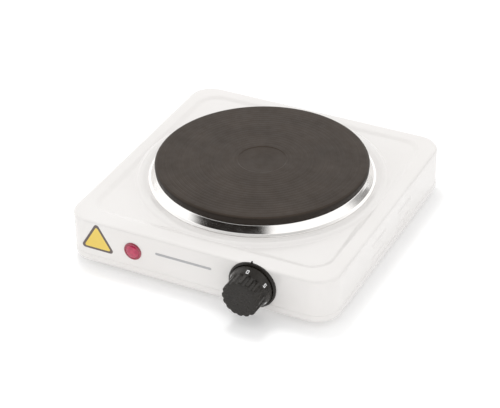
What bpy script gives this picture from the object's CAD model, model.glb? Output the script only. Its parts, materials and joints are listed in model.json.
import bmesh
import bpy
import json
import math
from mathutils import Matrix, Vector

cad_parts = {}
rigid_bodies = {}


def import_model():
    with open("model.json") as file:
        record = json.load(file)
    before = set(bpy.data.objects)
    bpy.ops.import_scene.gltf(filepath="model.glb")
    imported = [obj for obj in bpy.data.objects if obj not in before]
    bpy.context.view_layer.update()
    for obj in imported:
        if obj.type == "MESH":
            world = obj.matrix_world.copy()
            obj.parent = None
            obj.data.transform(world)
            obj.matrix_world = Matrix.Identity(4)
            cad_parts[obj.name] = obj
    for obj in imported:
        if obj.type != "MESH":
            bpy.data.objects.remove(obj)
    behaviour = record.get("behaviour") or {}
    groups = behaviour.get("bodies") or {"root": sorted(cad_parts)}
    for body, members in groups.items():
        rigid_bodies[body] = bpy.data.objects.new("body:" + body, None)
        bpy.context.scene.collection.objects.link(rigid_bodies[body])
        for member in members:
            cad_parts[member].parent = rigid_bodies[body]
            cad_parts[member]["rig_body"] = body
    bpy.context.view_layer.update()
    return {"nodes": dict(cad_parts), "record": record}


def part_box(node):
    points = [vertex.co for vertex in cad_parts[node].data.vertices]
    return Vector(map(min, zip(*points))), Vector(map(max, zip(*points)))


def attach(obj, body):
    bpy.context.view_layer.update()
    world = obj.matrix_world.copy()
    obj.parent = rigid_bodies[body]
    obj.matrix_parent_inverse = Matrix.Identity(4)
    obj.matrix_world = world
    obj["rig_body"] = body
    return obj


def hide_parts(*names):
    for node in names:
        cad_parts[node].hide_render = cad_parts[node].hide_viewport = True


# Single electric hot plate: the visible skin, finishes, light and camera.
# Metres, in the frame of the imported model; profiles are written in millimetres.
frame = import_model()
nodes = frame["nodes"]

MM = 0.001


# --------------------------------------------------------------- places from the CAD
def corners(node):
    low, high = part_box(node)
    return Vector(low), Vector(high)


def middle(node):
    low, high = corners(node)
    return (low + high) / 2


plate_low, plate_high = corners("hotplate_casting")
tray_low, tray_high = corners("base_tray")
shell_low, shell_high = corners("housing")
plate_axis = (plate_low + plate_high) / 2
casing_bottom = tray_low.z
panel_y = shell_low.y
back_y = shell_high.y
knob_axis = middle("control_knob")
lamp_axis = middle("lamp_collar")
gland_axis = middle("cord_gland")

mound_rise = 0.6
casing_top = shell_high.z / MM - mound_rise
tray_rim_height = (tray_high.z - tray_low.z) / MM


# -------------------------------------------------------------------------- camera
CAMERA_AZIMUTH = math.radians(26.847)
CAMERA_ELEVATION = math.radians(33.101)
CAMERA_ROLL = math.radians(-0.929)
CAMERA_DISTANCE = 1.5055
CAMERA_LENS = 126.2
AIM_OFFSET = Vector((-0.33, -23.73, 22.47)) * MM


def make_camera():
    """Camera above the front right, aimed just in front of the plate's axis."""
    back = Vector((math.sin(CAMERA_AZIMUTH) * math.cos(CAMERA_ELEVATION),
                   -math.cos(CAMERA_AZIMUTH) * math.cos(CAMERA_ELEVATION),
                   math.sin(CAMERA_ELEVATION)))
    level = Vector((math.cos(CAMERA_AZIMUTH), math.sin(CAMERA_AZIMUTH), 0))
    rise = back.cross(level)
    right = math.cos(CAMERA_ROLL) * level + math.sin(CAMERA_ROLL) * rise
    up = back.cross(right)
    aim = Vector((plate_axis.x, plate_axis.y, casing_bottom)) + AIM_OFFSET
    place = aim + back * CAMERA_DISTANCE
    data = bpy.data.cameras.new("camera")
    data.lens = CAMERA_LENS
    data.sensor_width = 36.0
    data.clip_start = 0.01
    camera = bpy.data.objects.new("camera", data)
    bpy.context.scene.collection.objects.link(camera)
    turn = Matrix((right, up, back)).transposed()
    camera.matrix_world = Matrix.Translation(place) @ turn.to_4x4()
    bpy.context.scene.camera = camera


make_camera()


# ----------------------------------------------------------------------- materials
def start_material(name):
    material = bpy.data.materials.new(name)
    material.use_nodes = True
    tree = material.node_tree
    return material, tree, tree.nodes["Principled BSDF"]


def add_noise(tree, grain_mm, detail=3.0):
    """Noise with features of about grain_mm, in the piece's own coordinates."""
    place = tree.nodes.new("ShaderNodeTexCoord")
    noise = tree.nodes.new("ShaderNodeTexNoise")
    noise.inputs["Scale"].default_value = 1 / (grain_mm * MM)
    noise.inputs["Detail"].default_value = detail
    tree.links.new(place.outputs["Object"], noise.inputs["Vector"])
    return noise.outputs["Fac"]


def add_range(tree, value, low, high, start=0.3, end=0.7):
    node = tree.nodes.new("ShaderNodeMapRange")
    node.inputs["From Min"].default_value = start
    node.inputs["From Max"].default_value = end
    node.inputs["To Min"].default_value = low
    node.inputs["To Max"].default_value = high
    tree.links.new(value, node.inputs["Value"])
    return node.outputs["Result"]


def add_ramp(tree, value, stops):
    ramp = tree.nodes.new("ShaderNodeValToRGB")
    elements = ramp.color_ramp.elements
    while len(elements) < len(stops):
        elements.new(0.5)
    for element, (position, colour) in zip(elements, stops):
        element.position = position
        element.color = (*colour[:3], 1)
    tree.links.new(value, ramp.inputs["Fac"])
    return ramp.outputs["Color"]


def add_mix(tree, factor, first, second, blend="MIX"):
    node = tree.nodes.new("ShaderNodeMix")
    node.data_type = "RGBA"
    node.blend_type = blend
    for value, socket in ((factor, 0), (first, 6), (second, 7)):
        if isinstance(value, (int, float)):
            node.inputs[socket].default_value = value
        elif isinstance(value, tuple):
            node.inputs[socket].default_value = (*value[:3], 1)
        else:
            tree.links.new(value, node.inputs[socket])
    return node.outputs[2]


def add_bump(tree, height, distance_mm, below=None):
    bump = tree.nodes.new("ShaderNodeBump")
    bump.inputs["Strength"].default_value = 1.0
    bump.inputs["Distance"].default_value = distance_mm * MM
    tree.links.new(height, bump.inputs["Height"])
    if below:
        tree.links.new(below, bump.inputs["Normal"])
    return bump.outputs["Normal"]


def add_edges(tree, start, end):
    """0 on flats, 1 on sharp outer edges, where a surface rubs and wears."""
    geometry = tree.nodes.new("ShaderNodeNewGeometry")
    return add_range(tree, geometry.outputs["Pointiness"], 0.0, 1.0, start, end)


def shaded(colour, factor):
    return tuple(min(1.0, max(0.0, c * factor)) for c in colour[:3])


def plain_finish(name, colour, tone=0.08, tone_grain=12, rough=(0.3, 0.45),
                 bump=0.01, bump_grain=0.6, metal=0.0, wear=0.25, specular=0.5):
    """Coloured finish whose tone, gloss and relief all vary, with rubbed edges."""
    smear_grain = 6
    wear_tint = 0.12
    material, tree, shader = start_material(name)
    cloud = add_noise(tree, tone_grain, 4.0)
    base = add_ramp(tree, cloud, [(0.3, shaded(colour, 1 - tone)), (0.7, shaded(colour, 1 + tone))])
    worn = shaded([c + wear_tint for c in colour[:3]], 1 + wear)
    edge = add_edges(tree, 0.53, 0.62)
    base = add_mix(tree, edge, base, worn)
    grain = add_noise(tree, smear_grain, 5.0)
    tree.links.new(base, shader.inputs["Base Color"])
    tree.links.new(add_range(tree, grain, rough[0], rough[1]), shader.inputs["Roughness"])
    relief = add_noise(tree, bump_grain)
    tree.links.new(add_bump(tree, relief, bump), shader.inputs["Normal"])
    shader.inputs["Metallic"].default_value = metal
    shader.inputs["Specular IOR Level"].default_value = specular
    return material


def enamel_finish():
    """Fired white enamel: near-white, glossy, with a faint orange-peel surface."""
    material, tree, shader = start_material("white_enamel")
    cloud = add_noise(tree, 60, 2.0)
    base = add_ramp(tree, cloud, [(0.35, (0.780, 0.757, 0.738)), (0.65, (0.800, 0.780, 0.762))])
    speck = add_noise(tree, 1.1, 1.0)
    dots = add_ramp(tree, speck, [(0.74, (1, 1, 1)), (0.80, (0.93, 0.92, 0.90))])
    base = add_mix(tree, 1.0, base, dots, "MULTIPLY")
    tree.links.new(base, shader.inputs["Base Color"])
    smear = add_noise(tree, 22, 5.0)
    tree.links.new(add_range(tree, smear, 0.17, 0.27), shader.inputs["Roughness"])
    peel = add_bump(tree, add_noise(tree, 2.6, 1.0), 0.012)
    waves = add_bump(tree, add_noise(tree, 28, 1.0), 0.12, peel)
    tree.links.new(waves, shader.inputs["Normal"])
    shader.inputs["Coat Weight"].default_value = 0.35
    shader.inputs["Coat Roughness"].default_value = 0.08
    return material


def radius_from(tree, centre):
    """Distance from the vertical line through centre, and the directions out and around."""
    place = tree.nodes.new("ShaderNodeTexCoord")
    shift = tree.nodes.new("ShaderNodeVectorMath")
    shift.operation = "SUBTRACT"
    shift.inputs[1].default_value = centre
    flatten = tree.nodes.new("ShaderNodeVectorMath")
    flatten.operation = "MULTIPLY"
    flatten.inputs[1].default_value = (1, 1, 0)
    length = tree.nodes.new("ShaderNodeVectorMath")
    length.operation = "LENGTH"
    around = tree.nodes.new("ShaderNodeVectorMath")
    around.operation = "CROSS_PRODUCT"
    around.inputs[1].default_value = (0, 0, 1)
    tree.links.new(place.outputs["Object"], shift.inputs[0])
    tree.links.new(shift.outputs["Vector"], flatten.inputs[0])
    tree.links.new(flatten.outputs["Vector"], length.inputs[0])
    tree.links.new(flatten.outputs["Vector"], around.inputs[0])
    return length.outputs["Value"], flatten.outputs["Vector"], around.outputs["Vector"]


def turned_lines(tree, radius, pitch_mm, detail=2.0):
    """Lathe marks: noise that changes only with the distance from the axis."""
    lines = tree.nodes.new("ShaderNodeTexNoise")
    lines.noise_dimensions = "1D"
    lines.inputs["Scale"].default_value = 1 / (pitch_mm * MM)
    lines.inputs["Detail"].default_value = detail
    tree.links.new(radius, lines.inputs["W"])
    return lines.outputs["Fac"]


def cast_iron_finish():
    """Black heat-proof coating over turned cast iron."""
    material, tree, shader = start_material("cast_iron")
    radius, outward, _ = radius_from(tree, plate_axis)
    cloud = add_noise(tree, 30, 4.0)
    base = add_ramp(tree, cloud, [(0.3, (0.033, 0.023, 0.016)), (0.7, (0.047, 0.034, 0.025))])
    rings = add_ramp(tree, turned_lines(tree, radius, 1.6),
                     [(0.3, (0.86, 0.86, 0.86)), (0.7, (1.0, 1.0, 1.0))])
    base = add_mix(tree, 1.0, base, rings, "MULTIPLY")
    rim = add_range(tree, radius, 0.0, 1.0, 91.3 * MM, 92.2 * MM)
    base = add_mix(tree, rim, base, (0.022, 0.016, 0.012))
    tree.links.new(base, shader.inputs["Base Color"])
    grain = add_noise(tree, 7, 6.0)
    tree.links.new(add_range(tree, grain, 0.40, 0.52), shader.inputs["Roughness"])
    tree.links.new(outward, shader.inputs["Tangent"])
    shader.inputs["Anisotropic"].default_value = 0.12
    marks = add_bump(tree, turned_lines(tree, radius, 0.5), 0.004)
    sand = add_bump(tree, add_noise(tree, 0.5, 4.0), 0.03, marks)
    tree.links.new(sand, shader.inputs["Normal"])
    shader.inputs["Specular IOR Level"].default_value = 0.22
    return material


def spill_ring_finish():
    """Polished stainless steel with fine marks around it and slight heat tint."""
    material, tree, shader = start_material("polished_steel")
    radius, _, around = radius_from(tree, plate_axis)
    tint = add_noise(tree, 45, 2.0)
    base = add_ramp(tree, tint, [(0.35, (0.93, 0.92, 0.91)), (0.65, (0.86, 0.845, 0.825))])
    tree.links.new(base, shader.inputs["Base Color"])
    smear = add_noise(tree, 14, 5.0)
    tree.links.new(add_range(tree, smear, 0.10, 0.20), shader.inputs["Roughness"])
    marks = add_bump(tree, turned_lines(tree, radius, 0.25), 0.003)
    tree.links.new(marks, shader.inputs["Normal"])
    tree.links.new(around, shader.inputs["Tangent"])
    shader.inputs["Metallic"].default_value = 1.0
    shader.inputs["Anisotropic"].default_value = 0.35
    return material


def lamp_finish(name, dark, light, transmission):
    """Red moulding: deeper colour in patches, under a glossy coat."""
    material, tree, shader = start_material(name)
    cloud = add_noise(tree, 3.0, 2.0)
    base = add_ramp(tree, cloud, [(0.35, dark), (0.65, light)])
    tree.links.new(base, shader.inputs["Base Color"])
    grain = add_noise(tree, 1.2, 3.0)
    tree.links.new(add_range(tree, grain, 0.10, 0.2), shader.inputs["Roughness"])
    tree.links.new(add_bump(tree, add_noise(tree, 0.9, 1.0), 0.02), shader.inputs["Normal"])
    shader.inputs["Transmission Weight"].default_value = transmission
    shader.inputs["Coat Weight"].default_value = 0.6
    shader.inputs["IOR"].default_value = 1.49
    return material


def knob_finish():
    """Black moulded phenolic: fine moulding texture with lighter rubbed patches."""
    material, tree, shader = start_material("black_plastic")
    cloud = add_noise(tree, 9, 4.0)
    base = add_ramp(tree, cloud, [(0.3, (0.010, 0.008, 0.006)), (0.7, (0.017, 0.014, 0.011))])
    rubbed = add_range(tree, add_noise(tree, 5, 5.0), 0.0, 0.3, 0.56, 0.74)
    base = add_mix(tree, rubbed, base, (0.045, 0.040, 0.036))
    tree.links.new(base, shader.inputs["Base Color"])
    grain = add_noise(tree, 2.5, 5.0)
    tree.links.new(add_range(tree, grain, 0.24, 0.34), shader.inputs["Roughness"])
    tree.links.new(add_bump(tree, add_noise(tree, 0.35, 3.0), 0.012), shader.inputs["Normal"])
    shader.inputs["Specular IOR Level"].default_value = 0.32
    return material


def glass_finish():
    """Clear glass with faint ripples and smears."""
    material, tree, shader = start_material("clear_glass")
    cloud = add_noise(tree, 2.0, 2.0)
    base = add_ramp(tree, cloud, [(0.3, (0.86, 0.88, 0.86)), (0.7, (0.96, 0.97, 0.96))])
    tree.links.new(base, shader.inputs["Base Color"])
    tree.links.new(add_range(tree, add_noise(tree, 1.0, 3.0), 0.02, 0.08), shader.inputs["Roughness"])
    tree.links.new(add_bump(tree, add_noise(tree, 1.5, 1.0), 0.01), shader.inputs["Normal"])
    shader.inputs["Transmission Weight"].default_value = 0.9
    return material


metal = {"metal": 1.0, "specular": 0.5}
ink = {"bump": 0.004, "wear": 0.0, "specular": 0.05}
sleeve = {"tone": 0.12, "tone_grain": 6, "rough": (0.45, 0.6),
          "bump": 0.02, "bump_grain": 0.8, "wear": 0.0}
finishes = {
    "plain_steel": dict(tone=0.10, tone_grain=7, rough=(0.26, 0.42), bump_grain=0.4, **metal),
    "aluminised_steel": dict(tone=0.07, tone_grain=5, rough=(0.36, 0.5),
                             bump=0.02, bump_grain=1.2, **metal),
    "print_white": dict(tone=0.04, tone_grain=2, rough=(0.45, 0.6), bump_grain=0.3, **ink),
    "print_grey": dict(tone=0.10, tone_grain=2, rough=(0.35, 0.5), bump_grain=0.3, **ink),
    "print_brown": dict(tone=0.10, tone_grain=3, rough=(0.35, 0.5), bump_grain=0.4, **ink),
    "print_yellow": dict(tone=0.05, tone_grain=4, rough=(0.3, 0.45), bump_grain=0.4, **ink),
    "white_plastic": dict(tone=0.04, tone_grain=8, rough=(0.4, 0.52), bump=0.01, bump_grain=0.5, wear=0.1),
    "steatite": dict(tone=0.06, tone_grain=4, rough=(0.6, 0.8), bump=0.03, bump_grain=0.5, wear=0.1),
    "resistance_wire": dict(tone=0.2, tone_grain=3, rough=(0.4, 0.6), bump=0.08, bump_grain=0.7, **metal),
    "brass": dict(tone=0.10, tone_grain=4, rough=(0.24, 0.4), bump=0.008, bump_grain=0.4, **metal),
    "copper_alloy": dict(tone=0.14, tone_grain=5, rough=(0.28, 0.44), bump=0.008, bump_grain=0.4, **metal),
    "silver": dict(tone=0.08, tone_grain=1.5, rough=(0.15, 0.3), bump=0.006, bump_grain=0.3, **metal),
    "grey_rubber": dict(tone=0.14, tone_grain=6, rough=(0.6, 0.8), bump=0.03, bump_grain=0.5, wear=0.3),
    "brown_wire": sleeve,
    "blue_wire": sleeve,
    "earth_wire_green": sleeve,
}
special = {
    "white_enamel": enamel_finish,
    "cast_iron": cast_iron_finish,
    "polished_steel": spill_ring_finish,
    "black_plastic": knob_finish,
    "clear_glass": glass_finish,
    "lamp_red": lambda: lamp_finish("lamp_red", (0.42, 0.014, 0.07), (0.58, 0.026, 0.10), 0.15),
    "lamp_rim": lambda: lamp_finish("lamp_rim", (0.27, 0.025, 0.05), (0.36, 0.035, 0.07), 0.0),
}
materials = {}
for entry in frame["record"]["materials"]:
    slot = entry["slot"]
    if slot in special:
        materials[slot] = special[slot]()
    else:
        materials[slot] = plain_finish(slot, entry["base_color"], **finishes[slot])
node_slot = {part["node"]: part["material_slot"] for part in frame["record"]["subparts"]}
for node, piece in nodes.items():
    if not piece.material_slots:
        piece.data.materials.append(None)
    for material_slot in piece.material_slots:
        material_slot.material = materials[node_slot[node]]


# -------------------------------------------------------------------- mesh helpers
SAME_POINT = 1e-7
ON_AXIS_MM = 1e-6


def make_piece(name, points, faces, node, sharp=32, cutter=None, thickness=None, joined=None):
    """Mesh object that stands for a CAD node, rides on its body and takes its finish."""
    mesh = bpy.data.meshes.new(name)
    mesh.from_pydata([tuple(p) for p in points], [], faces)
    tidy = bmesh.new()
    tidy.from_mesh(mesh)
    bmesh.ops.remove_doubles(tidy, verts=tidy.verts, dist=SAME_POINT)
    bmesh.ops.recalc_face_normals(tidy, faces=tidy.faces)
    tidy.to_mesh(mesh)
    tidy.free()
    piece = bpy.data.objects.new(name, mesh)
    bpy.context.scene.collection.objects.link(piece)
    if thickness:
        skin = piece.modifiers.new("sheet", "SOLIDIFY")
        skin.thickness = thickness
        skin.offset = -1.0
        skin.use_even_offset = True
        apply_modifiers(piece)
    for tool, operation in ((joined, "UNION"), (cutter, "DIFFERENCE")):
        if tool:
            step = piece.modifiers.new("shape", "BOOLEAN")
            step.operation = operation
            step.solver = "EXACT"
            step.object = tool
            apply_modifiers(piece)
            bpy.data.objects.remove(tool)
    piece.data.shade_smooth()
    piece.data.set_sharp_from_angle(angle=math.radians(sharp))
    piece.data.materials.clear()
    owner = node or "housing"
    piece.data.materials.append(materials[node_slot[owner]])
    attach(piece, nodes[owner]["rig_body"])
    if node:
        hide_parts(node)
    return piece


def apply_modifiers(piece):
    bpy.context.view_layer.update()
    solved = piece.evaluated_get(bpy.context.evaluated_depsgraph_get())
    mesh = bpy.data.meshes.new_from_object(solved)
    piece.modifiers.clear()
    piece.data = mesh


def bridge(rings):
    """Quads between neighbouring closed rings of the same number of points."""
    count = len(rings[0])
    points = [p for ring in rings for p in ring]
    faces = []
    for level in range(len(rings) - 1):
        for i in range(count):
            a = level * count + i
            b = level * count + (i + 1) % count
            faces.append((a, b, b + count, a + count))
    return points, faces


def round_corners(profile, steps=5):
    """Profile points are (radius, along, corner radius); corners become arcs."""
    usable_share = 0.48
    result = []
    for i, (r, t, fillet) in enumerate(profile):
        here = Vector((r, t))
        if fillet <= 0 or i in (0, len(profile) - 1):
            result.append(here)
            continue
        before = Vector(profile[i - 1][:2]) - here
        after = Vector(profile[i + 1][:2]) - here
        half = before.angle(after) / 2
        reach = fillet / math.tan(half)
        limit = usable_share * min(before.length, after.length)
        if reach > limit:
            fillet *= limit / reach
            reach = limit
        start = here + before.normalized() * reach
        end = here + after.normalized() * reach
        hub = here + (before.normalized() + after.normalized()).normalized() * fillet / math.sin(half)
        sweep = (start - hub).angle_signed(end - hub)
        for k in range(steps + 1):
            spoke = (start - hub).copy()
            spoke.rotate(Matrix.Rotation(-sweep * k / steps, 2))
            result.append(hub + spoke)
    return result


def lathe(profile, centre, axis=Vector((0, 0, 1)), across=Vector((1, 0, 0)), segments=256,
          shape=None):
    """Surface of revolution; shape(angle, radius, along) may change each radius."""
    sideways = axis.cross(across)
    points = []
    faces = []
    rings = []
    for r, t in profile:
        if r < ON_AXIS_MM:
            rings.append([len(points)])
            points.append(centre + axis * t * MM)
            continue
        ring = []
        for i in range(segments):
            angle = 2 * math.pi * i / segments
            radius = shape(angle, r, t) if shape else r
            ring.append(len(points))
            spoke = across * math.cos(angle) + sideways * math.sin(angle)
            points.append(centre + spoke * radius * MM + axis * t * MM)
        rings.append(ring)
    for first, second in zip(rings, rings[1:]):
        for i in range(segments):
            j = (i + 1) % segments
            if len(first) == 1 and len(second) > 1:
                faces.append((first[0], second[j], second[i]))
            elif len(second) == 1 and len(first) > 1:
                faces.append((first[i], first[j], second[0]))
            elif len(first) > 1:
                faces.append((first[i], first[j], second[j], second[i]))
    return points, faces


def prism(outline, start, end):
    """Closed prism between two copies of an outline of points."""
    count = len(outline)
    points = [p + start for p in outline] + [p + end for p in outline]
    faces = [tuple(range(count))[::-1], tuple(range(count, 2 * count))]
    for i in range(count):
        j = (i + 1) % count
        faces.append((i, j, count + j, count + i))
    return points, faces


def tool_object(solids):
    """One mesh of separate closed solids, to cut from a piece or join to it."""
    points = []
    faces = []
    for solid_points, solid_faces in solids:
        base = len(points)
        points += solid_points
        faces += [tuple(i + base for i in face) for face in solid_faces]
    mesh = bpy.data.meshes.new("cutter")
    mesh.from_pydata([tuple(p) for p in points], [], faces)
    tidy = bmesh.new()
    tidy.from_mesh(mesh)
    bmesh.ops.recalc_face_normals(tidy, faces=tidy.faces)
    tidy.to_mesh(mesh)
    tidy.free()
    cutter = bpy.data.objects.new("cutter", mesh)
    bpy.context.scene.collection.objects.link(cutter)
    return cutter


def slot_outline(long_way, short_way, length, width, centre, steps=8):
    """Stadium of points: a slot with round ends."""
    run = (length - width) / 2
    outline = []
    for side in (1, -1):
        for k in range(steps + 1):
            angle = -math.pi / 2 + math.pi * k / steps
            along = side * (run + math.cos(angle) * width / 2)
            over = side * math.sin(angle) * width / 2
            outline.append(centre + long_way * along * MM + short_way * over * MM)
    return outline


def disc_outline(centre, across, sideways, radius, steps=48):
    return [centre + (across * math.cos(2 * math.pi * k / steps)
                      + sideways * math.sin(2 * math.pi * k / steps)) * radius * MM
            for k in range(steps)]


# ------------------------------------------------------------- casing and base tray
SIDE_STEPS = 64
CORNER_STEPS = 24


def rounded_rectangle(x0, x1, y0, y1, radius):
    """(point, outward normal) pairs around a rectangle with round corners, in mm."""
    hubs = [(x1 - radius, y0 + radius, -90), (x1 - radius, y1 - radius, 0),
            (x0 + radius, y1 - radius, 90), (x0 + radius, y0 + radius, 180)]
    result = []
    for k, (hx, hy, first) in enumerate(hubs):
        for step in range(CORNER_STEPS):
            angle = math.radians(first + 90 * step / CORNER_STEPS)
            normal = Vector((math.cos(angle), math.sin(angle)))
            result.append((Vector((hx, hy)) + normal * radius, normal))
        angle = math.radians(first + 90)
        normal = Vector((math.cos(angle), math.sin(angle)))
        here = Vector((hx, hy)) + normal * radius
        nx, ny, _ = hubs[(k + 1) % 4]
        there = Vector((nx, ny)) + normal * radius
        for step in range(SIDE_STEPS):
            result.append((here.lerp(there, step / SIDE_STEPS), normal))
    return result


def smooth_step(value):
    value = min(1.0, max(0.0, value))
    return value * value * (3 - 2 * value)


def smooth_max(a, b, softness):
    blend = max(softness - abs(a - b), 0.0) / softness
    return max(a, b) + blend * blend * softness / 4


recess_drop = 1.5
recess_half_width = 109.0
recess_front = 110.0
recess_back = 106.0
recess_corner_radius = 20.0
step_inner = -4.6
step_outer = 2.2
opening_radius = 94.6
seat_radius = 98.6
crest_start = 103.5
crest_end = 106.0
mound_foot_radius = 111.3
mound_below = 2.0
mound_fall_power = 1.7
circle_limit = 101.0
collar_softness = 0.5
front_shoulder = 2.2
side_shoulder = 3.0
shell_corner_radius = 20.95
sheet = 0.8
VENT_ROWS = (12.3, 25.4)
VENT_COLUMNS = ((-42.0, -16.0), (13.0, 39.0))
VENT_WIDTH = 1.8
CUT_REACH = 4 * MM
LIP_DEPTH = 5.3
SPINDLE_HOLE = 5.2
LAMP_HOLE = 6.6
INLET_HOLE = 8.1
axis_x = plate_axis.x / MM
axis_y = plate_axis.y / MM


def mound_height(radius):
    """Raised collar around the opening, above the casing's top, in mm."""
    if radius <= crest_end:
        return mound_rise * smooth_step((radius - seat_radius) / (crest_start - seat_radius))
    fall = (radius - crest_end) / (mound_foot_radius - crest_end)
    return mound_rise - (mound_rise + recess_drop + mound_below) * fall ** mound_fall_power


def recess_distance(x, y):
    """How far outside the recess outline a point is, in mm; negative is inside."""
    middle_y = (recess_back - recess_front) / 2
    half_depth = (recess_back + recess_front) / 2
    dx = abs(x) - (recess_half_width - recess_corner_radius)
    dy = abs(y - middle_y) - (half_depth - recess_corner_radius)
    outside = math.hypot(max(dx, 0), max(dy, 0))
    return outside + min(max(dx, dy), 0) - recess_corner_radius


def top_height(x, y):
    """The pressed top's height at a point from the plate's axis, in mm."""
    ramp = (recess_distance(x, y) - step_inner) / (step_outer - step_inner)
    base = -recess_drop * (1 - smooth_step(ramp))
    return casing_top + smooth_max(base, mound_height(math.hypot(x, y)), collar_softness)


def make_casing():
    """Pressed casing: raised collar, recessed top, rounded shoulders, walls and their holes."""
    outline = rounded_rectangle(shell_low.x / MM, shell_high.x / MM, panel_y / MM, back_y / MM,
                                shell_corner_radius)
    recess = rounded_rectangle(axis_x - recess_half_width, axis_x + recess_half_width,
                               axis_y - recess_front, axis_y + recess_back, recess_corner_radius)
    axis = Vector((axis_x, axis_y))
    spokes = [(point - axis).normalized() for point, _ in recess]

    def on_top(point):
        return Vector((point.x, point.y, top_height(point.x - axis_x, point.y - axis_y)))

    rings = []
    lip = round_corners([(opening_radius, -LIP_DEPTH, 0), (opening_radius, 0, 1.2), (seat_radius, 0, 0)])
    for r, t in lip:
        rings.append([Vector((*(axis + s * r), casing_top + t)) for s in spokes])
    seat_rings = 6
    for step in range(1, seat_rings + 1):
        r = seat_radius + (circle_limit - seat_radius) * step / seat_rings
        rings.append([on_top(axis + s * r) for s in spokes])
    inner = [point + normal * step_inner for point, normal in recess]
    field_rings = 48
    for step in range(1, field_rings + 1):
        share = step / field_rings
        rings.append([on_top((axis + s * circle_limit).lerp(edge, share))
                      for s, edge in zip(spokes, inner)])
    step_rings = 10
    for step in range(1, step_rings + 1):
        offset = step_inner + (step_outer - step_inner) * step / step_rings
        rings.append([on_top(point + normal * offset) for point, normal in recess])
    shoulders = [front_shoulder + (side_shoulder - front_shoulder)
                 * smooth_step(1 + normal.y if normal.y < 0 else 1) for _, normal in outline]
    outer_edge = [point + normal * step_outer for point, normal in recess]
    border_rings = 5
    for step in range(1, border_rings + 1):
        share = step / border_rings
        rings.append([on_top(edge.lerp(point - normal * radius, share))
                      for edge, (point, normal), radius in zip(outer_edge, outline, shoulders)])
    bend_rings = 8
    for step in range(1, bend_rings + 1):
        angle = math.pi / 2 * step / bend_rings
        rings.append([Vector((*(point - normal * radius * (1 - math.sin(angle))),
                              casing_top - radius * (1 - math.cos(angle))))
                      for (point, normal), radius in zip(outline, shoulders)])
    above_rim = casing_bottom / MM + tray_rim_height + 1.0
    behind_rim = above_rim - 5.0
    wall_levels = (34, 26, above_rim, behind_rim)
    for height in wall_levels:
        rings.append([Vector((*point, height)) for point, _ in outline])
    points, faces = bridge(rings)
    cutters = []
    for side in (shell_low.x, shell_high.x):
        for row in VENT_ROWS:
            for first, last in VENT_COLUMNS:
                centre = Vector((side, plate_axis.y + (first + last) / 2 * MM,
                                 casing_bottom + row * MM))
                outline_points = slot_outline(Vector((0, 1, 0)), Vector((0, 0, 1)),
                                              last - first, VENT_WIDTH, centre)
                cutters.append(prism(outline_points, Vector((-CUT_REACH, 0, 0)),
                                     Vector((CUT_REACH, 0, 0))))
    across, up = Vector((1, 0, 0)), Vector((0, 0, 1))
    for node, radius, wall in (("control_knob", SPINDLE_HOLE, panel_y),
                               ("lamp_lens", LAMP_HOLE, panel_y),
                               ("cord_gland", INLET_HOLE, back_y)):
        centre = middle(node)
        centre.y = wall
        cutters.append(prism(disc_outline(centre, across, up, radius),
                             Vector((0, -CUT_REACH, 0)), Vector((0, CUT_REACH, 0))))
    shell = make_piece("casing_shell", [p * MM for p in points], faces, "housing",
                       sharp=38, cutter=tool_object(cutters), thickness=sheet * MM)
    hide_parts("housing_walls")


def make_vent_hoods():
    """Pressed hoods over the side slots, open along the bottom."""
    length_steps, height_steps = 28, 8
    reach, top_edge, bottom_edge, skin = 0.8, 1.9, -1.0, 0.35
    overlap, root_depth = 0.8, 0.3
    end_sharpness, swell_power = 8, 0.9
    points = []
    faces = []
    for wall, side in ((shell_low.x, -1), (shell_high.x, 1)):
        for row in VENT_ROWS:
            for first, last in VENT_COLUMNS:
                half = (last - first) / 2 + overlap
                centre = Vector((wall, plate_axis.y + (first + last) / 2 * MM,
                                 casing_bottom + row * MM))
                for layer in (0, skin):
                    for i in range(length_steps + 1):
                        along = 2 * i / length_steps - 1
                        taper = math.sqrt(max(0.0, 1 - abs(along) ** end_sharpness))
                        for j in range(height_steps + 1):
                            share = j / height_steps
                            swell = math.sin(share * math.pi / 2) ** swell_power * taper
                            out = max(reach * swell - layer, -root_depth)
                            up = top_edge + (bottom_edge - top_edge) * share
                            points.append(centre + Vector((side * out, along * half, up)) * MM)
                base = len(points) - 2 * (length_steps + 1) * (height_steps + 1)
                faces += hood_faces(base, length_steps, height_steps)
    make_piece("vent_hoods", points, faces, None, sharp=50)


def hood_faces(base, columns, rows):
    """Outer skin, inner skin and the edge between them."""
    stride = rows + 1
    layer = (columns + 1) * stride
    faces = []
    for i in range(columns):
        for j in range(rows):
            a = base + i * stride + j
            faces.append((a, a + 1, a + stride + 1, a + stride))
            faces.append((a + layer, a + layer + stride, a + layer + stride + 1, a + layer + 1))
    border = [base + j for j in range(rows)]
    border += [base + i * stride + rows for i in range(columns)]
    border += [base + columns * stride + j for j in range(rows, 0, -1)]
    border += [base + i * stride for i in range(columns, 0, -1)]
    for here, there in zip(border, border[1:] + border[:1]):
        faces.append((here, there, there + layer, here + layer))
    return faces


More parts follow.
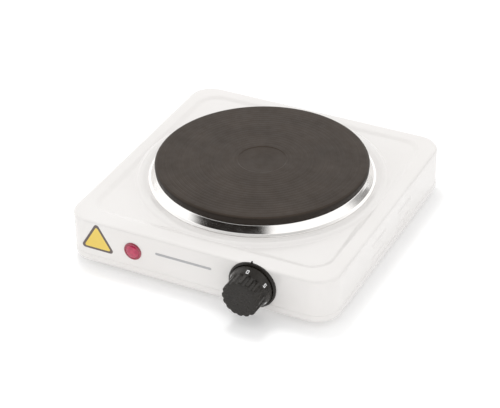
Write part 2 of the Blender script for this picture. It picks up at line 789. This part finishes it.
def make_tray():
    """Shallow pressed tray: rolled lower edge, thin standing rim, slotted floor."""
    inset = 0.33
    corner_radius = 21.5
    slot_length, slot_width = 44, 4
    column_offset, row_pitch = 32, 14
    slot_reach = 3 * MM
    outline = rounded_rectangle(tray_low.x / MM + inset, tray_high.x / MM - inset,
                                tray_low.y / MM + inset, tray_high.y / MM - inset,
                                corner_radius - inset)
    bottom = casing_bottom / MM
    rim = bottom + tray_rim_height
    edge = 1.2
    edge_steps = 6
    rows_each_way = 3
    path = [(3.0, bottom + sheet), (0.5, bottom + sheet + 0.4), (0.5, rim - 0.3), (0.38, rim - 0.05),
            (0.22, rim), (0.06, rim - 0.1), (0, rim - 0.35), (0, bottom + edge + 1.5)]
    for step in range(edge_steps + 1):
        angle = math.pi / 2 * step / edge_steps
        path.append((edge * (1 - math.cos(angle)), bottom + edge * (1 - math.sin(angle))))
    path.append((3.0, bottom))
    rings = [[Vector((*(point - normal * depth), height)) for point, normal in outline]
             for depth, height in path]
    points, faces = bridge(rings)
    count = len(outline)
    faces.append(tuple(range(count)))
    faces.append(tuple(range(len(points) - count, len(points))))
    cutters = []
    for row in range(-rows_each_way, rows_each_way + 1):
        for side in (-1, 1):
            centre = Vector((plate_axis.x + side * column_offset * MM,
                             plate_axis.y + row * row_pitch * MM, casing_bottom))
            outline_points = slot_outline(Vector((1, 0, 0)), Vector((0, 1, 0)),
                                          slot_length, slot_width, centre)
            cutters.append(prism(outline_points, Vector((0, 0, -slot_reach)),
                                 Vector((0, 0, slot_reach))))
    make_piece("base_tray_skin", [p * MM for p in points], faces, "base_tray",
               sharp=38, cutter=tool_object(cutters))


# ------------------------------------------------------------ cooking plate and ring
plate_foot = Vector((plate_axis.x, plate_axis.y, casing_bottom))


def make_plate():
    """Cast-iron plate: middle recess, ring grooves, rounded rim and the seat under it."""
    top = 54.7
    recess_depth = 0.45
    groove_first, groove_pitch, groove_count = 26.0, 3.5, 18
    groove_half, groove_depth = 0.55, 0.06
    profile = [(0, top - recess_depth, 0), (20.8, top - recess_depth, 0.4), (21.5, top, 0.5)]
    for i in range(groove_count):
        r = groove_first + i * groove_pitch
        profile += [(r - groove_half, top, 0.2), (r, top - groove_depth, 0.2),
                    (r + groove_half, top, 0.2)]
    profile += [(90.3, top, 0.9), (91.7, top - 0.6, 0.8), (92.5, top - 1.9, 0.8), (92.1, 47.8, 0.3),
                (89.9, 47.8, 0), (89.9, 36, 0.6), (84, 36, 0.4), (84, 37, 0), (12, 37, 0),
                (12, 36, 0), (4, 36, 0), (4, 40, 0), (0, 40, 0)]
    points, faces = lathe(round_corners(profile, 3), plate_foot, segments=360)
    make_piece("cooking_plate", points, faces, "hotplate_casting", sharp=50)


def make_ring():
    """Rolled sheet ring that slopes from the plate down to the casing."""
    profile = [(90.0, 47.7, 0), (91.4, 47.75, 0.3), (92.2, 47.3, 0.6), (93.4, 45.2, 2.0),
               (96.0, 41.2, 1.5), (98.3, 40.35, 0.35), (98.3, 39.65, 0.2), (95.7, 39.65, 0.6),
               (91.8, 46.8, 0.4), (90.0, 47.1, 0), (90.0, 47.7, 0)]
    points, faces = lathe(round_corners(profile, 6), plate_foot, segments=360)
    make_piece("spill_ring_skin", points, faces, "spill_ring", sharp=42)


# --------------------------------------------------------------------- knob and lamp
OUT = Vector((0, -1, 0))
RIGHT = Vector((1, 0, 0))


def panel_point(axis):
    return Vector((axis.x, panel_y, axis.z))


def make_knob():
    """Skirted knob with sixteen shallow finger flutes round its grip."""
    flute_radius, flute_reach, lobes = 2.1, 16.95, 16
    flute_start, flute_full = 10.2, 12.4
    face_radius = 12
    edge_softness = 0.25

    def fluted(angle, radius, along):
        if along < flute_start or radius < face_radius:
            return radius
        sector = 2 * math.pi / lobes
        offset = abs(angle % sector - sector / 2)
        sideways = flute_reach * math.sin(offset)
        depth = math.sqrt(max(flute_radius ** 2 - sideways ** 2, 0.0))
        valley = flute_reach * math.cos(offset) - depth
        cut = -smooth_max(-radius, -valley, edge_softness) if sideways < flute_radius else radius
        return radius + (cut - radius) * smooth_step((along - flute_start) / (flute_full - flute_start))

    profile = [(0, 4.2, 0), (17.4, 4.2, 0.2), (17.4, 1.7, 0.2), (18.9, 1.7, 0.3), (18.9, 4.4, 0.4),
               (18.4, 5.0, 0.5), (17.4, 8.5, 0), (17.0, 10.2, 0), (16.8, 10.9, 0), (16.55, 11.5, 0.3),
               (16.4, 12.0, 0.3), (16.4, 12.6, 0), (16.4, 15.0, 0), (16.35, 18.0, 0), (16.3, 22.7, 0.5),
               (15.7, 23.35, 0.4), (13.4, 23.62, 1.5), (8.0, 23.72, 0), (0, 23.8, 0)]
    points, faces = lathe(round_corners(profile, 6), panel_point(knob_axis), OUT, RIGHT,
                          segments=480, shape=fluted)
    make_piece("heat_knob", points, faces, "control_knob", sharp=48)


def make_bezel():
    """Ring round the knob, notched over the tray's rim, with a pointer on its top edge."""
    profile = [(5.5, 0.02, 0), (21.0, 0.02, 0), (21.0, 1.5, 0.35), (19.8, 2.5, 0.3), (19.3, 2.5, 0.15),
               (19.3, 1.3, 0.2), (5.5, 1.3, 0), (5.5, 0.02, 0)]
    points, faces = lathe(round_corners(profile, 5), panel_point(knob_axis), OUT, RIGHT, segments=256)
    gap = 0.05 * MM
    notch_half_width = 30 * MM
    notch_depth = 4 * MM
    below_casing = 10 * MM
    step_top = tray_high.z + 2 * gap
    low = Vector((knob_axis.x - notch_half_width, tray_low.y - gap, casing_bottom - below_casing))
    size = Vector((2 * notch_half_width, notch_depth, step_top - low.z))
    base = [low, low + Vector((size.x, 0, 0)), low + Vector((size.x, size.y, 0)),
            low + Vector((0, size.y, 0))]
    step = prism(base, Vector((0, 0, 0)), Vector((0, 0, size.z)))
    centre = panel_point(knob_axis)
    corners_mm = ((-1.0, 20.6), (1.0, 20.6), (0.35, 22.9), (-0.35, 22.9))
    pointer_thickness = 1.3 * MM
    pointer = prism([centre + Vector((x, 0, z)) * MM for x, z in corners_mm],
                    OUT * gap, OUT * (gap + pointer_thickness))
    make_piece("dial_bezel", points, faces, "knob_bezel", sharp=40,
               cutter=tool_object([step]), joined=tool_object([pointer]))


def make_lamp():
    """Domed pilot lens and the collar it sits in."""
    lens = [(0, 2.6, 0), (3.2, 2.42, 2.0), (5.4, 1.75, 1.5), (6.3, 0.95, 0.5), (6.3, -7.0, 0.1),
            (5.2, -7.0, 0.1), (5.2, 0.6, 0.4), (0, 1.2, 0)]
    points, faces = lathe(round_corners(lens, 6), panel_point(lamp_axis), OUT, RIGHT, segments=96)
    make_piece("pilot_lens", points, faces, "lamp_lens", sharp=40)
    collar = [(6.4, 0.02, 0), (8.0, 0.02, 0.05), (8.0, 0.7, 0.25), (7.4, 1.15, 0.3), (6.4, 1.15, 0.12),
              (6.4, 0.02, 0)]
    points, faces = lathe(round_corners(collar, 5), panel_point(lamp_axis), OUT, RIGHT, segments=96)
    make_piece("pilot_collar", points, faces, "lamp_collar", sharp=40)


# ------------------------------------------------------------- feet and cord inlet
def make_gland():
    """Moulded inlet bush with a waisted nose; nothing is fitted in its bore."""
    profile = [(4.0, 9.0, 0), (6.4, 9.0, 0.5), (7.2, 8.1, 0.6), (8.2, 3.0, 1.0), (11.0, 2.6, 0.5),
               (11.4, 1.9, 0.4), (11.4, 0.03, 0.05), (8.0, 0.03, 0), (8.0, -1.05, 0), (9.6, -1.1, 0.3),
               (9.3, -3.2, 0.5), (7.4, -5.5, 0.3), (4.0, -5.5, 0.3), (4.0, 9.0, 0)]
    centre = Vector((gland_axis.x, back_y, gland_axis.z))
    points, faces = lathe(round_corners(profile, 5), centre, Vector((0, 1, 0)), RIGHT, segments=128)
    make_piece("inlet_bush", points, faces, "cord_gland", sharp=40)


def make_feet():
    """Four moulded feet with two shallow grip grooves round each."""
    low, high = corners("rubber_feet")
    top_radius = 9.3
    height = (high.z - low.z) / MM
    profile = [(5.0, 0, 0), (7.3, 0, 0.4), (8.2, 0.5, 0.5), (8.45, 1.5, 0.4), (8.6, 2.4, 0.15),
               (8.2, 2.7, 0.15), (8.7, 3.0, 0.15), (8.9, 4.0, 0.15), (8.5, 4.3, 0.15),
               (9.0, 4.6, 0.15), (9.3, height, 0.05), (2.2, height, 0), (2.2, 3.4, 0.1),
               (5.0, 3.4, 0.2), (5.0, 0, 0)]
    points = []
    faces = []
    for x in (low.x + top_radius * MM, high.x - top_radius * MM):
        for y in (low.y + top_radius * MM, high.y - top_radius * MM):
            base = len(points)
            foot_points, foot_faces = lathe(round_corners(profile, 4), Vector((x, y, low.z)), segments=96)
            points += foot_points
            faces += [tuple(i + base for i in face) for face in foot_faces]
    make_piece("feet", points, faces, "rubber_feet", sharp=40)


make_casing()
make_vent_hoods()
make_tray()
make_plate()
make_ring()
make_knob()
make_bezel()
make_lamp()
make_gland()
make_feet()


# ------------------------------------------------------------------ floor and light
WORLD_STRENGTH = 0.88
MIRRORED_WHITE = (1.4, 1.39, 1.38)
MIRRORED_DARK = (0.015, 0.012, 0.010)
BEHIND_SHARE = 0.75
OVERHEAD_SHARE = 0.45
AIM = (0, 0, 0.03)


def make_floor():
    """Large pale sheet that the appliance stands on."""
    half = 6.0
    mesh = bpy.data.meshes.new("floor")
    mesh.from_pydata([(-half, -half, 0), (half, -half, 0), (half, half, 0), (-half, half, 0)], [],
                     [(0, 1, 2, 3)])
    floor = bpy.data.objects.new("floor", mesh)
    bpy.context.scene.collection.objects.link(floor)
    material, tree, shader = start_material("floor_paper")
    cloud = add_noise(tree, 400, 2.0)
    base = add_ramp(tree, cloud, [(0.3, (0.90, 0.90, 0.90)), (0.7, (0.92, 0.92, 0.92))])
    tree.links.new(base, shader.inputs["Base Color"])
    shader.inputs["Roughness"].default_value = 0.9
    shader.inputs["Specular IOR Level"].default_value = 0.1
    shader.inputs["Emission Color"].default_value = (1, 1, 1, 1)
    shader.inputs["Emission Strength"].default_value = 0.2
    floor.data.materials.append(material)


def make_area(name, place, target, width, height, energy):
    """Soft light that brightens surfaces and isn't mirrored by glossy ones."""
    data = bpy.data.lights.new(name, "AREA")
    data.shape = "RECTANGLE"
    data.size = width
    data.size_y = height
    data.energy = energy
    light = bpy.data.objects.new(name, data)
    bpy.context.scene.collection.objects.link(light)
    light.visible_glossy = False
    light.location = place
    light.rotation_euler = (Vector(target) - Vector(place)).to_track_quat("-Z", "Y").to_euler()


def make_world():
    """White surroundings; glossy pieces mirror a dark card in front, a grey one behind and a dim top."""
    world = bpy.data.worlds.new("studio")
    bpy.context.scene.world = world
    world.use_nodes = True
    tree = world.node_tree
    background = tree.nodes["Background"]
    background.inputs["Strength"].default_value = WORLD_STRENGTH

    def maths(operation, first, second=None):
        node = tree.nodes.new("ShaderNodeMath")
        node.operation = operation
        for socket, value in enumerate((first, second)):
            if isinstance(value, (int, float)):
                node.inputs[socket].default_value = value
            elif value is not None:
                tree.links.new(value, node.inputs[socket])
        return node.outputs["Value"]

    def window(value, start, full, fade, end):
        """1 between full and fade, 0 outside start and end."""
        rise = add_range(tree, value, 0.0, 1.0, start, full)
        fall = add_range(tree, value, 1.0, 0.0, fade, end)
        return maths("MULTIPLY", rise, fall)

    place = tree.nodes.new("ShaderNodeTexCoord")
    parts = tree.nodes.new("ShaderNodeSeparateXYZ")
    tree.links.new(place.outputs["Generated"], parts.inputs["Vector"])
    front = maths("MULTIPLY", parts.outputs["Y"], -1.0)
    azimuth = maths("ARCTAN2", parts.outputs["X"], front)
    sideways = window(azimuth, *(math.radians(angle) for angle in (-52, -38, 27, 36)))
    raised = window(parts.outputs["Z"], -0.2, 0.05, 0.62, 0.78)
    card = maths("MULTIPLY", sideways, raised)
    behind = window(azimuth, *(math.radians(angle) for angle in (112, 132, 160, 172)))
    low = window(parts.outputs["Z"], -0.3, -0.1, 0.18, 0.30)
    corner = maths("MULTIPLY", maths("MULTIPLY", behind, low), BEHIND_SHARE)
    overhead = add_range(tree, parts.outputs["Z"], 0.0, OVERHEAD_SHARE, 0.72, 0.95)
    shade = maths("MAXIMUM", maths("MAXIMUM", card, corner), overhead)
    path = tree.nodes.new("ShaderNodeLightPath")
    mirrored = add_mix(tree, shade, MIRRORED_WHITE, MIRRORED_DARK)
    colour = add_mix(tree, path.outputs["Is Glossy Ray"], (1.0, 1.0, 1.0), mirrored)
    tree.links.new(colour, background.inputs["Color"])


make_floor()
make_world()
make_area("key", (-0.34, 0.30, 1.55), AIM, width=0.4, height=0.4, energy=6.0)
make_area("fill", (0.9, -1.6, 0.40), AIM, width=1.6, height=0.6, energy=2.0)
bpy.context.scene.view_settings.view_transform = "Standard"
